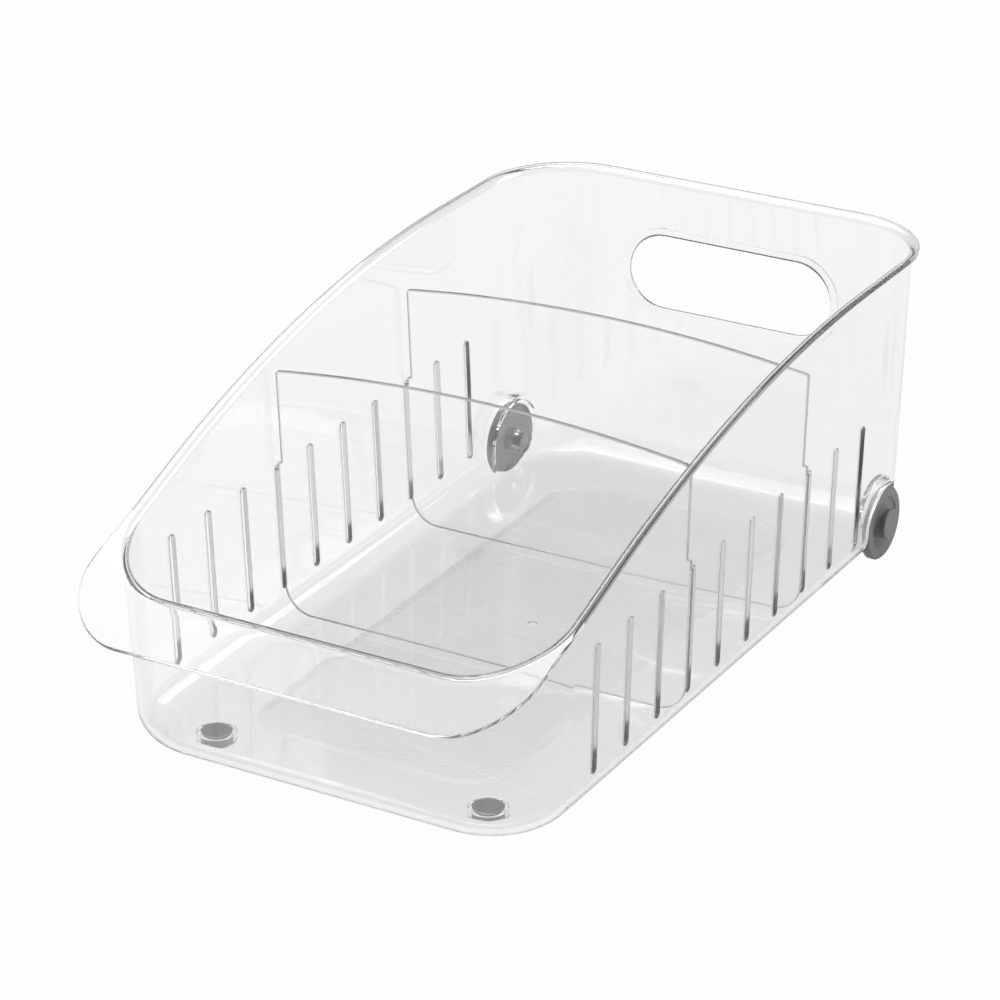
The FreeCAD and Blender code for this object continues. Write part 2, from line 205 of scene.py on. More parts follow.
# Rim curve: level at the rear, a long convex sweep, a hollow ease and the drooping lip
SWEEP_ANGLE = math.radians(21.3)
EASE_ANGLE = math.radians(18.0)
LIP_ANGLE = math.radians(35.1)
SWEEP_Y = BACK_Y - 72.6
LIP_Y = LIP_FRONT_Y + 41.2
EASE_Y = LIP_Y + 35.0
SWEEP_RADIUS = (SWEEP_Y - EASE_Y) / math.sin(SWEEP_ANGLE)
EASE_RADIUS = (EASE_Y - LIP_Y) / (math.sin(SWEEP_ANGLE) - math.sin(EASE_ANGLE))
LIP_RADIUS = (LIP_Y - LIP_FRONT_Y) / (math.sin(LIP_ANGLE) - math.sin(EASE_ANGLE))
SWEEP_CENTRE_Z = RIM_HEIGHT - SWEEP_RADIUS
EASE_CENTRE_Y = EASE_Y - EASE_RADIUS * math.sin(SWEEP_ANGLE)
EASE_CENTRE_Z = SWEEP_CENTRE_Z + (SWEEP_RADIUS + EASE_RADIUS) * math.cos(SWEEP_ANGLE)
LIP_CENTRE_Y = LIP_Y + LIP_RADIUS * math.sin(EASE_ANGLE)
LIP_CENTRE_Z = EASE_CENTRE_Z - (EASE_RADIUS + LIP_RADIUS) * math.cos(EASE_ANGLE)


def rim(y):
    """Height of the rim curve and its rise per unit of y."""
    if y >= SWEEP_Y:
        return RIM_HEIGHT, 0.0
    if y >= EASE_Y:
        angle = math.asin((SWEEP_Y - y) / SWEEP_RADIUS)
        return SWEEP_CENTRE_Z + SWEEP_RADIUS * math.cos(angle), math.tan(angle)
    if y >= LIP_Y:
        angle = math.asin((y - EASE_CENTRE_Y) / EASE_RADIUS)
        return EASE_CENTRE_Z - EASE_RADIUS * math.cos(angle), math.tan(angle)
    angle = math.asin((LIP_CENTRE_Y - y) / LIP_RADIUS)
    return LIP_CENTRE_Z + LIP_RADIUS * math.cos(angle), math.tan(angle)


def rim_drop(y, drop):
    """Height of the rim curve lowered square to itself."""
    height, slope = rim(y)
    return height - drop * math.hypot(1.0, slope)


def round_corner(corner, first, second, radius, steps):
    """Points of a rounding at a corner between two edges that leave it in the given directions."""
    first = first.normalized()
    second = second.normalized()
    opening = first.angle(second)
    reach = radius / math.tan(opening / 2)
    centre = corner + (first + second).normalized() * (radius / math.sin(opening / 2))
    start = corner + first * reach - centre
    end = corner + second * reach - centre
    sweep = math.pi - opening
    points = []
    for step in range(steps + 1):
        t = step / steps
        spoke = (start * math.sin((1 - t) * sweep) + end * math.sin(t * sweep)) / math.sin(sweep)
        points.append(centre + spoke)
    return points


def bottom_arc(grow, low, radius):
    """Rounding between floor and leaning wall as (outwards, height) pairs, from the floor up."""
    centre_z = low + radius
    centre_g = DRAFT * centre_z + grow - radius / math.cos(LEAN)
    points = []
    for step in range(BOTTOM_STEPS + 1):
        angle = -math.pi / 2 + (math.pi / 2 - LEAN) * step / BOTTOM_STEPS
        points.append((centre_g + radius * math.cos(angle), centre_z + radius * math.sin(angle)))
    return points


def plan_stations():
    """Places round the wall's plan outline as (place, outward way, side name), anticlockwise."""
    core_x = HALF_WIDTH - CORNER
    low_y = FRONT_Y + CORNER
    high_y = BACK_Y - CORNER
    corners = [
        (Vector((core_x, low_y)), -90, FRONT_CORNER_STEPS, "right", SIDE_STEPS),
        (Vector((core_x, high_y)), 0, REAR_CORNER_STEPS, "back", END_STEPS),
        (Vector((-core_x, high_y)), 90, REAR_CORNER_STEPS, "left", SIDE_STEPS),
        (Vector((-core_x, low_y)), 180, FRONT_CORNER_STEPS, "front", END_STEPS),
    ]
    stations = []
    for index, (centre, first, arc_steps, side_name, side_steps) in enumerate(corners):
        for step in range(arc_steps):
            turn = math.radians(first + 90 * step / arc_steps)
            way = Vector((math.cos(turn), math.sin(turn)))
            stations.append((centre + way * CORNER, way, "corner"))
        turn = math.radians(first + 90)
        way = Vector((round(math.cos(turn)), round(math.sin(turn))))
        start = centre + way * CORNER
        end = corners[(index + 1) % 4][0] + way * CORNER
        for step in range(side_steps):
            stations.append((start.lerp(end, step / side_steps), way, side_name))
    return stations


def wall_top(place, way, grow, drop):
    """Height where a leaning wall meets the rim curve lowered by drop."""
    z = RIM_HEIGHT
    for _ in range(SETTLE_ROUNDS):
        z = rim_drop(place.y + (DRAFT * z + grow) * way.y, drop)
    return z


def lip_outline(share, side):
    """Point and outward way on the flange's front, from the middle of the lip's front edge (0) to the
    end of its straight part (1), round the corner to the wall's corner end (2)."""
    z = LIP_GUESS
    for _ in range(LIP_ROUNDS):
        half = HALF_WIDTH + DRAFT * z + RIM_OVERHANG
        core_x = half - LIP_CORNER
        arc_length = LIP_CORNER * math.pi / 2
        straight = FRONT_Y + CORNER - (LIP_FRONT_Y + LIP_CORNER)
        if share <= 1:
            spot = Vector((core_x * share, LIP_FRONT_Y))
            way = Vector((0, -1))
        else:
            along = (share - 1) * (arc_length + straight)
            if along < arc_length:
                turn = along / LIP_CORNER - math.pi / 2
                way = Vector((math.cos(turn), math.sin(turn)))
                spot = Vector((core_x, LIP_FRONT_Y + LIP_CORNER)) + way * LIP_CORNER
            else:
                way = Vector((1, 0))
                spot = Vector((half, LIP_FRONT_Y + LIP_CORNER + along - arc_length))
        z = rim(spot.y)[0]
    return Vector((spot.x * side, spot.y)), Vector((way.x * side, way.y))


def flange_end(place, way, name):
    """Plan point on the flange's outline that belongs to a wall place, and the outline's way there."""
    core_x = HALF_WIDTH - CORNER
    low_y = FRONT_Y + CORNER
    side = 1 if place.x >= 0 else -1
    if name == "front" or (name == "corner" and way.y < 0):
        if abs(place.x) <= core_x + SAME_POINT:
            return lip_outline(abs(place.x) / core_x, side)
        turn = math.atan2(place.y - low_y, abs(place.x) - core_x)
        return lip_outline(2 + turn / (math.pi / 2), side)
    z = wall_top(place, way, RIM_OVERHANG, 0.0)
    return place + way * (DRAFT * z + RIM_OVERHANG), way


def rim_section(place, way, name):
    """Section over the rim from the inside wall to the outside wall, as points in space."""
    points = []

    def put(plan, z):
        points.append(Vector((plan.x, plan.y, z)))

    # Inner edge
    top = wall_top(place, way, -WALL, 0.0)
    inner = place + way * (DRAFT * top - WALL)
    slope = rim(inner.y)[1] * way.y
    down = Vector((-DRAFT, -1.0))
    across = Vector((1.0, slope))
    curve = round_corner(Vector((0.0, top)), down, across, RIM_INNER_ROUND, INNER_STEPS)
    for pair in curve:
        put(inner + way * pair.x, pair.y)
    start = inner + way * curve[-1].x

    # Outer edge
    end, end_way = flange_end(place, way, name)
    end_top, end_rise = rim(end.y)
    end_low = rim_drop(end.y, RIM_THICKNESS)
    back = Vector((-1.0, -end_rise * end_way.y))
    upper = round_corner(Vector((0.0, end_top)), back, Vector((0.0, -1.0)), RIM_OUTER_ROUND, OUTER_STEPS)
    lower = round_corner(Vector((0.0, end_low)), Vector((0.0, 1.0)), back, RIM_OUTER_ROUND, OUTER_STEPS)
    stop = end + end_way * upper[0].x
    for step in range(1, BETWEEN_STEPS + 1):
        plan = start.lerp(stop, step / (BETWEEN_STEPS + 1))
        put(plan, rim(plan.y)[0])
    for pair in upper + lower:
        put(end + end_way * pair.x, pair.y)

    # Underside and the corner with the outside wall
    under = wall_top(place, way, 0.0, RIM_THICKNESS)
    outer = place + way * DRAFT * under
    slope = rim(outer.y)[1] * way.y
    curve = round_corner(Vector((0.0, under)), Vector((1.0, slope)), down, RIM_UNDER_ROUND, OUTER_STEPS)
    start = end + end_way * lower[-1].x
    stop = outer + way * curve[0].x
    for step in range(1, BETWEEN_STEPS + 1):
        plan = start.lerp(stop, step / (BETWEEN_STEPS + 1))
        put(plan, rim_drop(plan.y, RIM_THICKNESS))
    for pair in curve:
        put(outer + way * pair.x, pair.y)
    return points


def obround(centre, half_straight, radius, upright, steps):
    """Round-ended outline in a plane, anticlockwise."""
    points = []
    for end in (1, -1):
        for step in range(steps + 1):
            turn = math.pi * step / steps - math.pi / 2
            if end < 0:
                turn += math.pi
            u = end * half_straight + radius * math.cos(turn)
            v = radius * math.sin(turn)
            if upright:
                u, v = -v, u
            points.append((centre[0] + u, centre[1] + v))
    return points


def circle(centre, radius, steps):
    """Round outline in a plane, anticlockwise."""
    points = []
    for step in range(steps):
        turn = 2 * math.pi * step / steps
        points.append((centre[0] + radius * math.cos(turn), centre[1] + radius * math.sin(turn)))
    return points


def bridge(shape, first, second, material=CLEAR):
    """Band of quads between two rings of equal length."""
    count = len(first)
    for index in range(count):
        following = (index + 1) % count
        face = shape.faces.new((first[index], first[following], second[following], second[index]))
        face.material_index = material


def inside(spot, outline):
    """Whether a point lies within an outline."""
    hit = False
    for (ax, ay), (bx, by) in zip(outline, outline[1:] + outline[:1]):
        if (ay > spot[1]) != (by > spot[1]):
            if spot[0] < ax + (spot[1] - ay) * (bx - ax) / (by - ay):
                hit = not hit
    return hit


def fill(shape, outer, holes, flat, material=CLEAR):
    """Flat region of triangles between an outer ring and hole rings; flat gives plane coordinates."""
    verts = []
    edges = []
    outlines = []
    for ring in [outer] + holes:
        first = len(verts)
        verts.extend(ring)
        edges.extend((first + i, first + (i + 1) % len(ring)) for i in range(len(ring)))
        outlines.append([flat(vert.co) for vert in ring])
    spots = [Vector(flat(vert.co)) for vert in verts]
    _, _, triangles, origins, _, _ = delaunay_2d_cdt(spots, edges, [], 1, SAME_POINT)
    for corners in triangles:
        chosen = [verts[origins[corner][0]] for corner in corners]
        middle = [sum(flat(vert.co)[axis] for vert in chosen) / 3 for axis in (0, 1)]
        if any(inside(middle, outline) for outline in outlines[1:]):
            continue
        face = shape.faces.new(chosen)
        face.material_index = material


def ring_of(shape, points):
    """New vertices at the points of a ring."""
    return [shape.verts.new(point) for point in points]


def make_shell():
    """Walls, floor, rim, slots, hand hole, sockets and panel as one closed skin."""
    shape = bmesh.new()
    stations = plan_stations()
    count = len(stations)
    low_in = []
    low_out = []
    sections = []
    for place, way, name in stations:
        for target, grow, low, radius in (
            (low_in, -WALL, FLOOR_TOP, BOTTOM_RADIUS - WALL),
            (low_out, 0.0, GROUND_GAP, BOTTOM_RADIUS),
        ):
            column = []
            for out, z in bottom_arc(grow, low, radius):
                spot = place + way * out
                column.append(shape.verts.new((spot.x, spot.y, z)))
            target.append(column)
        sections.append(ring_of(shape, rim_section(place, way, name)))
    for index in range(count):
        after = (index + 1) % count
        for columns in (low_in, low_out, sections):
            here = columns[index]
            there = columns[after]
            for row in range(len(here) - 1):
                face = shape.faces.new((here[row], there[row], there[row + 1], here[row + 1]))
                if columns is sections and stations[index][2] in ("left", "right") and row in RIM_EDGE_ROWS:
                    face.material_index = MATT
        if stations[index][2] in ("corner", "front"):
            for low, end in ((low_in, 0), (low_out, -1)):
                shape.faces.new((low[index][-1], low[after][-1], sections[after][end], sections[index][end]))

    def wall_ring(name, low, end):
        """Closed ring round one flat wall."""
        chosen = [index for index in range(count) if stations[index][2] == name]
        chosen.append((chosen[-1] + 1) % count)
        lower = [low[index][-1] for index in chosen]
        upper = [sections[index][end] for index in chosen]
        return lower + upper[::-1]

    # Side walls with their slots
    profile = []
    for step in range(SLOT_ROUND_STEPS + 1):
        turn = math.pi / 2 * step / SLOT_ROUND_STEPS
        profile.append((SLOT_ROUND * (1 - math.sin(turn)), SLOT_ROUND * (1 - math.cos(turn))))
    profile = profile + [(out, WALL - depth) for out, depth in profile[::-1]]
    half = (SLOT_HIGH - SLOT_LOW - SLOT_WIDTH) / 2
    for side, name in ((1, "right"), (-1, "left")):
        holes_in = []
        holes_out = []
        for number in range(SLOT_COUNT):
            centre = (SLOT_FIRST_Y + SLOT_PITCH * number, (SLOT_LOW + SLOT_HIGH) / 2)
            rings = []
            for out, depth in profile:
                points = []
                for y, z in obround(centre, half, SLOT_WIDTH / 2 + out, True, SLOT_END_STEPS):
                    points.append((side * (HALF_WIDTH + DRAFT * z - depth), y, z))
                rings.append(ring_of(shape, points))
            for first, second in zip(rings, rings[1:]):
                bridge(shape, first, second, MATT)
            holes_out.append(rings[0])
            holes_in.append(rings[-1])
        fill(shape, wall_ring(name, low_in, 0), holes_in, lambda co: (co.y, co.z))
        fill(shape, wall_ring(name, low_out, -1), holes_out, lambda co: (co.y, co.z))

    # Rear wall with the hand hole and its bead
    half = (HOLE_WIDTH - HOLE_HEIGHT) / 2
    rings = []
    for out, rise in HOLE_PROFILE:
        points = []
        for x, z in obround((0.0, HOLE_Z), half, HOLE_HEIGHT / 2 + out, False, HOLE_STEPS):
            points.append((x, BACK_Y + DRAFT * z + rise, z))
        rings.append(ring_of(shape, points))
    for first, second in zip(rings, rings[1:]):
        bridge(shape, first, second)
    fill(shape, wall_ring("back", low_in, 0), [rings[-1]], lambda co: (co.x, co.z))
    fill(shape, wall_ring("back", low_out, -1), [rings[0]], lambda co: (co.x, co.z))

    # Floor: plain on top; below, the frosted panel, the gate mark and the foot sockets
    fill(shape, [column[0] for column in low_in], [], lambda co: (co.x, co.y))
    holes = []
    rings = []
    for margin, rise in PANEL_PROFILE:
        half = HALF_WIDTH - PANEL_MARGIN - margin
        radius = PANEL_CORNER - margin
        points = []
        for sx, sy, first in ((1, -1, -90), (1, 1, 0), (-1, 1, 90), (-1, -1, 180)):
            end_y = FRONT_Y + PANEL_MARGIN + margin if sy < 0 else BACK_Y - PANEL_MARGIN - margin
            for step in range(PANEL_CORNER_STEPS + 1):
                turn = math.radians(first + 90 * step / PANEL_CORNER_STEPS)
                x = sx * (half - radius) + radius * math.cos(turn)
                y = end_y - sy * radius + radius * math.sin(turn)
                points.append((x, y, GROUND_GAP + rise))
        rings.append(ring_of(shape, points))
    for first, second in zip(rings, rings[1:]):
        bridge(shape, first, second, FROSTED)
    holes.append(rings[0])
    panel = rings[-1]
    rings = []
    for radius, rise in GATE_PROFILE:
        outline = circle((0.0, (FRONT_Y + BACK_Y) / 2), radius, GATE_STEPS)
        rings.append(ring_of(shape, [(x, y, GROUND_GAP + rise) for x, y in outline]))
    for first, second in zip(rings, rings[1:]):
        bridge(shape, first, second, FROSTED)
    fill(shape, panel, [rings[0]], lambda co: (co.x, co.y), FROSTED)
    fill(shape, rings[-1], [], lambda co: (co.x, co.y), FROSTED)
    for side in (1, -1):
        rings = []
        for radius, z in SOCKET_PROFILE:
            outline = circle((side * FOOT_X, FOOT_Y), radius, ROUND_STEPS)
            rings.append(ring_of(shape, [(x, y, z) for x, y in outline]))
        for first, second in zip(rings, rings[1:]):
            bridge(shape, first, second)
        holes.append(rings[0])
        fill(shape, rings[-1], [], lambda co: (co.x, co.y))
    fill(shape, [column[0] for column in low_out], holes, lambda co: (co.x, co.y))
    bmesh.ops.recalc_face_normals(shape, faces=shape.faces)
    return shape


def object_of(shape, name):
    """Object with the finished shape as its mesh."""
    mesh = bpy.data.meshes.new(name)
    shape.to_mesh(mesh)
    shape.free()
    thing = bpy.data.objects.new(name, mesh)
    scene.collection.objects.link(thing)
    return thing


def add_prism(shape, outline, start, end):
    """Prism along x from an outline of (y, z) points."""
    first = [shape.verts.new((start, y, z)) for y, z in outline]
    second = [shape.verts.new((end, y, z)) for y, z in outline]
    bridge(shape, first, second)
    shape.faces.new(first)
    shape.faces.new(second)


def arch(radius):
    """Outline of the arch over a wheel, with legs to below the ground."""
    points = []
    for step in range(ROUND_STEPS + 1):
        turn = math.pi * step / ROUND_STEPS
        points.append((WHEEL_Y + radius * math.cos(turn), WHEEL_RADIUS + radius * math.sin(turn)))
    return points + [(WHEEL_Y - radius, TOOL_LEG_Z), (WHEEL_Y + radius, TOOL_LEG_Z)]


def on_axle(radius):
    """Circle round a wheel's axle."""
    return circle((WHEEL_Y, WHEEL_RADIUS), radius, ROUND_STEPS)


def both_prisms(name, outline, start, end):
    """The same prism on both sides of the tray, as one object."""
    shape = bmesh.new()
    add_prism(shape, outline, start, end)
    add_prism(shape, outline, -start, -end)
    bmesh.ops.recalc_face_normals(shape, faces=shape.faces)
    return object_of(shape, name)


def make_core():
    """Solid that ends in the middle of the walls and floor."""
    shape = bmesh.new()
    columns = []
    for place, way, _ in plan_stations():
        column = []
        for out, z in bottom_arc(-WALL / 2, (GROUND_GAP + FLOOR_TOP) / 2, BOTTOM_RADIUS - WALL / 2):
            spot = place + way * out
            column.append(shape.verts.new((spot.x, spot.y, z)))
        top = place + way * (DRAFT * CORE_TOP - WALL / 2)
        column.append(shape.verts.new((top.x, top.y, CORE_TOP)))
        columns.append(column)
    for row in range(len(columns[0]) - 1):
        bridge(shape, [column[row] for column in columns], [column[row + 1] for column in columns])
    shape.faces.new([column[0] for column in columns])
    shape.faces.new([column[-1] for column in columns])
    bmesh.ops.recalc_face_normals(shape, faces=shape.faces)
    return object_of(shape, "core")


def combine(thing, steps):
    """Runs boolean steps on an object and keeps the outcome as its mesh."""
    for operation, other in steps:
        modifier = thing.modifiers.new(operation.lower(), "BOOLEAN")
        modifier.operation = operation
        modifier.solver = "EXACT"
        modifier.object = other
    bpy.context.view_layer.update()
    done = bpy.data.meshes.new_from_object(thing.evaluated_get(bpy.context.evaluated_depsgraph_get()))
    thing.modifiers.clear()
    thing.data = done
    for _, other in steps:
        bpy.data.objects.remove(other)


def finish_mesh(thing, angle):
    """Scale to metres, shade smooth and keep the sharp edges and the flats."""
    thing.data.transform(Matrix.Scale(METRES_PER_MILLIMETRE, 4))
    thing.data.shade_smooth()
    thing.data.set_sharp_from_angle(angle=math.radians(angle))
    normals = thing.modifiers.new("normals", "WEIGHTED_NORMAL")
    normals.keep_sharp = True
    normals.weight = NORMAL_WEIGHT


def make_bin(materials):
    """The moulded shell with its wheel wells, bosses and bores."""
    thing = object_of(make_shell(), "bin_moulding")
    for material in materials:
        thing.data.materials.append(material)
    blocks = both_prisms("well_blocks", arch(WELL_RADIUS + WALL), WELL_X - WALL, TOOL_END_X)
    combine(blocks, [("INTERSECT", make_core())])
    bosses = both_prisms("bosses", on_axle(BOSS_RADIUS), BOSS_INNER_X, BOSS_OUTER_X)
    hollows = both_prisms("hollows", arch(WELL_RADIUS), WELL_X, TOOL_END_X)
    bores = both_prisms("bores", on_axle(BORE_RADIUS), BORE_INNER_X, BORE_OUTER_X)
    combine(thing, [("UNION", blocks), ("UNION", bosses), ("DIFFERENCE", hollows), ("DIFFERENCE", bores)])
    finish_mesh(thing, BIN_SHARP_ANGLE)
    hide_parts("bin")
    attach(thing, "tray")


def divider_outline():
    """Outline of a divider as (x, z) points, anticlockwise: crowned top, shoulders and side tabs."""

    def inner_x(z):
        return HALF_WIDTH + DRAFT * z - WALL

    side_way = Vector((DRAFT, 1.0))
    across = Vector((-1.0, 0.0))
    corner = Vector((inner_x(DIVIDER_LOW) - DIVIDER_PLAY, DIVIDER_LOW))
    arc = round_corner(corner, across, side_way, DIVIDER_CORNER, DIVIDER_CORNER_STEPS)
    points = [spot for spot in arc if spot.y < TAB_LOW - ARC_STOP]
    points.append(Vector((inner_x(TAB_LOW) - TAB_FOOT_PLAY, TAB_LOW)))
    tab_out = [Vector((inner_x(z) + WALL - DIVIDER_PLAY, z)) for z in (TAB_LOW, TAB_HIGH)]
    points += round_corner(tab_out[0], across, side_way, TAB_ROUND, TAB_ROUND_STEPS)
    points += round_corner(tab_out[1], -side_way, across, TAB_ROUND, TAB_ROUND_STEPS)
    points.append(Vector((inner_x(TAB_HIGH) - DIVIDER_PLAY, TAB_HIGH)))
    shoulder = Vector((inner_x(SHOULDER_HEIGHT) - DIVIDER_PLAY, SHOULDER_HEIGHT))
    points += round_corner(shoulder, -side_way, across, TAB_ROUND, TAB_ROUND_STEPS)
    points.append(Vector((inner_x(SHOULDER_HEIGHT) - SHOULDER_STEP, SHOULDER_HEIGHT)))
    half = inner_x(DIVIDER_TOP) - SHOULDER_STEP
    rise = DIVIDER_CROWN - DIVIDER_TOP
    radius = (half ** 2 + rise ** 2) / (2 * rise)
    reach = math.asin(half / radius)
    along = Vector((-math.cos(reach), math.sin(reach)))
    points += round_corner(Vector((half, DIVIDER_TOP)), -side_way, along, TOP_ROUND, TOP_ROUND_STEPS)
    for step in range(1, CROWN_STEPS):
        turn = reach * (1 - step / CROWN_STEPS)
        if radius * math.sin(turn) < half - CROWN_STOP:
            points.append(Vector((radius * math.sin(turn), DIVIDER_CROWN - radius * (1 - math.cos(turn)))))
    mirrored = [Vector((-spot.x, spot.y)) for spot in points[::-1]]
    return points + [Vector((0.0, DIVIDER_CROWN))] + mirrored


def inset(outline, amount):
    """Outline moved inwards by an amount, corner by corner."""
    moved = []
    count = len(outline)
    for index, spot in enumerate(outline):
        before = (spot - outline[index - 1]).normalized()
        after = (outline[(index + 1) % count] - spot).normalized()
        first = Vector((-before.y, before.x))
        second = Vector((-after.y, after.x))
        moved.append(spot + (first + second) * (amount / (1 + first.dot(second))))
    return moved


def make_divider(node, body, number, materials):
    """Flat clear panel with rounded edges."""
    shape = bmesh.new()
    middle = SLOT_FIRST_Y + SLOT_PITCH * (number - 1)
    outline = divider_outline()
    profile = []
    for step in range(DIVIDER_ROUND_STEPS + 1):
        turn = math.pi / 2 * step / DIVIDER_ROUND_STEPS
        depth = DIVIDER_ROUND * (1 - math.cos(turn))
        profile.append((DIVIDER_ROUND * (1 - math.sin(turn)), -DIVIDER_HALF_THICKNESS + depth))
    profile = profile + [(amount, -y) for amount, y in profile[::-1]]
    rings = []
    for amount, y in profile:
        rings.append(ring_of(shape, [(spot.x, middle + y, spot.y) for spot in inset(outline, amount)]))
    for first, second in zip(rings, rings[1:]):
        bridge(shape, first, second, DIVIDER_EDGE)
    fill(shape, rings[0], [], lambda co: (co.x, co.z))
    fill(shape, rings[-1], [], lambda co: (co.x, co.z))
    bmesh.ops.recalc_face_normals(shape, faces=shape.faces)
    thing = object_of(shape, node + "_panel")
    for material in materials:
        thing.data.materials.append(material)
    finish_mesh(thing, DIVIDER_SHARP_ANGLE)
    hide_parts(node)
    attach(thing, body)


def new_material(name):
    """Material with its node tree and main shader."""
    material = bpy.data.materials.new(name)
    material.use_nodes = True
    tree = material.node_tree
    return material, tree, tree.nodes["Principled BSDF"]


def add_node(tree, kind, **inputs):
    """Node with input values; an underscore in a key stands for a space."""
    node = tree.nodes.new(kind)
    for key, value in inputs.items():
        node.inputs[key.replace("_", " ")].default_value = value
    return node


def dress(node, material):
    """Gives a piece that comes from the construction its material."""
    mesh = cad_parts[node].data
    mesh.materials.clear()
    mesh.materials.append(material)


def noise_of(tree, scale, detail=2.0):
    """Noise in object coordinates."""
    place = tree.nodes.new("ShaderNodeTexCoord")
    noise = add_node(tree, "ShaderNodeTexNoise", Scale=scale, Detail=detail)
    tree.links.new(place.outputs["Object"], noise.inputs["Vector"])
    return noise.outputs["Fac"]


def spread(tree, value, low, high):
    """Noise value mapped from its usual range to low and high."""
    node = tree.nodes.new("ShaderNodeMapRange")
    node.inputs["From Min"].default_value = NOISE_LOW
    node.inputs["From Max"].default_value = NOISE_HIGH
    node.inputs["To Min"].default_value = low
    node.inputs["To Max"].default_value = high
    tree.links.new(value, node.inputs["Value"])
    return node.outputs["Result"]


def tint(tree, value, dark, light):
    """Colour between two tones."""
    ramp = tree.nodes.new("ShaderNodeValToRGB")
    ramp.color_ramp.elements[0].position = NOISE_LOW
    ramp.color_ramp.elements[0].color = (*dark, 1)
    ramp.color_ramp.elements[1].position = NOISE_HIGH
    ramp.color_ramp.elements[1].color = (*light, 1)
    tree.links.new(value, ramp.inputs["Fac"])
    return ramp.outputs["Color"]


def bump(tree, shader, value, strength, distance):
    """Makes a shader's surface uneven by a height value."""
    node = add_node(tree, "ShaderNodeBump", Strength=strength, Distance=distance)
    tree.links.new(value, node.inputs["Height"])
    tree.links.new(node.outputs["Normal"], shader.inputs["Normal"])


def make_clear(name, dark, light, smooth, rough, wave_scale, wave, absorption):
    """Clear or frosted plastic: refracting, faintly uneven, and darker along long paths inside."""
    material, tree, shader = new_material(name)
    cloud = noise_of(tree, CLEAR_CLOUD)
    tree.links.new(tint(tree, cloud, dark, light), shader.inputs["Base Color"])
    tree.links.new(spread(tree, cloud, smooth, rough), shader.inputs["Roughness"])
    bump(tree, shader, noise_of(tree, wave_scale), wave, WAVE_DEPTH)
    shader.inputs["Transmission Weight"].default_value = 1.0
    shader.inputs["IOR"].default_value = REFRACTION
    absorb = add_node(tree, "ShaderNodeVolumeAbsorption", Density=absorption)
    absorb.inputs["Color"].default_value = INNER_TINT
    tree.links.new(absorb.outputs["Volume"], tree.nodes["Material Output"].inputs["Volume"])
    return material


def make_grey(name, dark, light, smooth, rough, grain, strength):
    """Opaque moulded plastic or rubber with a fine grain."""
    material, tree, shader = new_material(name)
    cloud = noise_of(tree, GREY_CLOUD, 4.0)
    tree.links.new(tint(tree, cloud, dark, light), shader.inputs["Base Color"])
    tree.links.new(spread(tree, cloud, smooth, rough), shader.inputs["Roughness"])
    bump(tree, shader, noise_of(tree, grain, 3.0), strength, GRAIN_DEPTH)
    return material


# Polished walls, the frosted floor panel, and the matt faces of slots, divider edges and side rims
clear = make_clear(
    "clear_plastic", dark=(0.985, 0.986, 0.987), light=(0.995, 0.996, 0.997),
    smooth=0.005, rough=0.02, wave_scale=9.0, wave=0.03, absorption=0.5,
)
frosted = make_clear(
    "frosted_plastic", dark=(0.975, 0.976, 0.977), light=(0.985, 0.986, 0.987),
    smooth=0.22, rough=0.32, wave_scale=600.0, wave=0.15, absorption=2.0,
)
matt = make_clear(
    "slot_faces", dark=(0.96, 0.961, 0.962), light=(0.98, 0.981, 0.982),
    smooth=0.28, rough=0.36, wave_scale=300.0, wave=0.1, absorption=2.0,
)
make_bin([clear, frosted, matt])
make_divider("divider_front", "front_divider", FRONT_DIVIDER_SLOT, [clear, matt])
make_divider("divider_rear", "rear_divider", REAR_DIVIDER_SLOT, [clear, matt])
wheel = make_grey(
    "wheel_grey", dark=(0.39, 0.39, 0.395), light=(0.43, 0.43, 0.435),
    smooth=0.42, rough=0.55, grain=1500.0, strength=0.15,
)
for node in ("wheel_left", "wheel_right"):
    dress(node, wheel)
pin = make_grey(
    "pin_grey", dark=(0.39, 0.39, 0.395), light=(0.43, 0.43, 0.435),
    smooth=0.38, rough=0.5, grain=1500.0, strength=0.12,
)
for node in ("axle_pin_left", "axle_pin_right"):
    dress(node, pin)
rubber = make_grey(
    "foot_rubber", dark=(0.62, 0.62, 0.625), light=(0.67, 0.67, 0.675),
    smooth=0.6, rough=0.75, grain=1200.0, strength=0.2,
)
for node in ("foot_left", "foot_right"):
    dress(node, rubber)


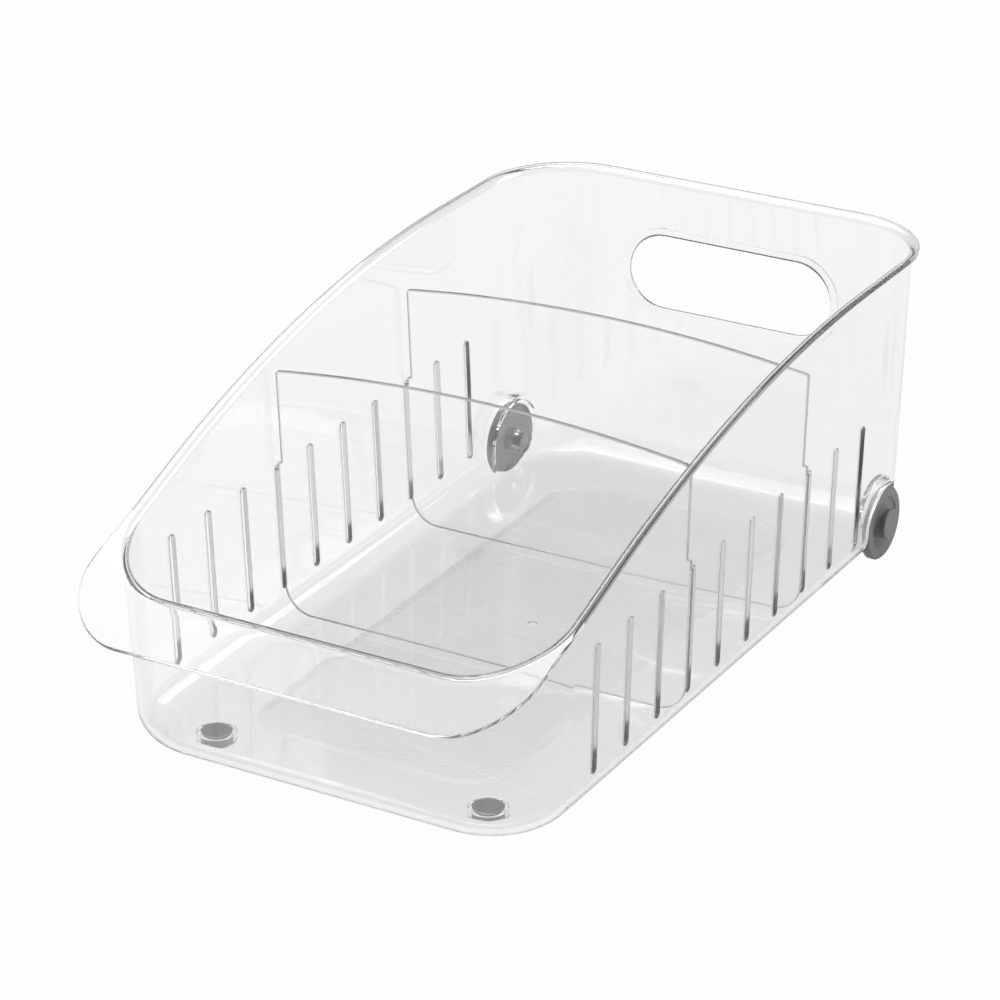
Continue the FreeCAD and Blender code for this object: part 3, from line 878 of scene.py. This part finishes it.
def make_floor():
    """A pale sheet that reads as white straight from the camera and keeps its soft shadow."""
    shape = bmesh.new()
    reach = FLOOR_REACH
    corners = [(-reach, -reach), (reach, -reach), (reach, reach), (-reach, reach)]
    shape.faces.new([shape.verts.new((x, y, FLOOR_Z)) for x, y in corners])
    thing = object_of(shape, "floor")
    material, tree, shader = new_material("floor_white")
    tree.nodes.remove(shader)
    sheet = tree.nodes.new("ShaderNodeBsdfDiffuse")
    tone = tint(tree, noise_of(tree, FLOOR_CLOUD), (0.78, 0.78, 0.78), (0.8, 0.8, 0.8))
    tree.links.new(tone, sheet.inputs["Color"])
    white = tree.nodes.new("ShaderNodeEmission")
    path = tree.nodes.new("ShaderNodeLightPath")
    level = tree.nodes.new("ShaderNodeMapRange")
    level.inputs["To Min"].default_value = FLOOR_LEVEL
    tree.links.new(path.outputs["Is Camera Ray"], level.inputs["Value"])
    tree.links.new(level.outputs["Result"], white.inputs["Strength"])
    shares = {
        "Is Camera Ray": FLOOR_SEEN,
        "Is Transmission Ray": FLOOR_THROUGH,
        "Is Glossy Ray": FLOOR_GLOSSY,
    }
    total = None
    for name, share in shares.items():
        part = tree.nodes.new("ShaderNodeMath")
        part.operation = "MULTIPLY"
        part.inputs[1].default_value = share
        tree.links.new(path.outputs[name], part.inputs[0])
        if total is None:
            total = part.outputs[0]
        else:
            pick = tree.nodes.new("ShaderNodeMath")
            pick.operation = "MAXIMUM"
            tree.links.new(total, pick.inputs[0])
            tree.links.new(part.outputs[0], pick.inputs[1])
            total = pick.outputs[0]
    mix = tree.nodes.new("ShaderNodeMixShader")
    tree.links.new(total, mix.inputs[0])
    tree.links.new(sheet.outputs[0], mix.inputs[1])
    tree.links.new(white.outputs[0], mix.inputs[2])
    tree.links.new(mix.outputs[0], tree.nodes["Material Output"].inputs["Surface"])
    thing.data.materials.append(material)


def make_world():
    """Bright behind the tray and darker on the camera's side, so that clear edges stand out."""
    world = bpy.data.worlds.new("world")
    scene.world = world
    world.use_nodes = True
    tree = world.node_tree
    background = tree.nodes["Background"]
    place = tree.nodes.new("ShaderNodeTexCoord")
    parts = tree.nodes.new("ShaderNodeSeparateXYZ")
    tree.links.new(place.outputs["Generated"], parts.inputs[0])
    level = tree.nodes.new("ShaderNodeMapRange")
    level.interpolation_type = "SMOOTHSTEP"
    level.inputs["From Min"].default_value = WORLD_FADE_START
    level.inputs["From Max"].default_value = WORLD_FADE_END
    level.inputs["To Min"].default_value = WORLD_FRONT
    level.inputs["To Max"].default_value = WORLD_BACK
    tree.links.new(parts.outputs["Y"], level.inputs["Value"])
    tree.links.new(level.outputs["Result"], background.inputs["Strength"])


def add_softbox(name, place, aim, width, height, radiance):
    """Rectangular lamp at a place, turned towards a point."""
    light = bpy.data.lights.new(name, "AREA")
    light.shape = "RECTANGLE"
    light.size = width
    light.size_y = height
    light.energy = radiance * math.pi * width * height
    thing = bpy.data.objects.new(name, light)
    scene.collection.objects.link(thing)
    thing.location = place
    thing.rotation_euler = (Vector(aim) - Vector(place)).to_track_quat("-Z", "Y").to_euler()


make_floor()
make_world()
add_softbox(
    "softbox_top", place=(-0.68, 0.1, 1.45), aim=(0.0, -0.05, 0.07),
    width=2.3, height=1.5, radiance=1.6,
)
add_softbox(
    "softbox_core", place=(-0.7, 0.62, 1.35), aim=(0.0, 0.0, 0.07),
    width=0.9, height=0.9, radiance=1.4,
)
add_softbox(
    "softbox_right", place=(1.1, 1.0, 0.9), aim=(0.09, 0.15, 0.02),
    width=1.0, height=1.0, radiance=2.5,
)

# Camera
camera_data = bpy.data.cameras.new("camera")
camera_data.sensor_width = SENSOR_WIDTH
camera_data.lens = LENS
camera = bpy.data.objects.new("camera", camera_data)
scene.collection.objects.link(camera)
pose = Matrix((CAMERA_RIGHT, -CAMERA_DOWN, -CAMERA_FORWARD)).transposed().to_4x4()
pose.translation = CAMERA_EYE
camera.matrix_world = pose
scene.camera = camera

scene.view_settings.view_transform = "Standard"
scene.cycles.max_bounces = LIGHT_BOUNCES
scene.cycles.glossy_bounces = LIGHT_BOUNCES
scene.cycles.transmission_bounces = LIGHT_BOUNCES
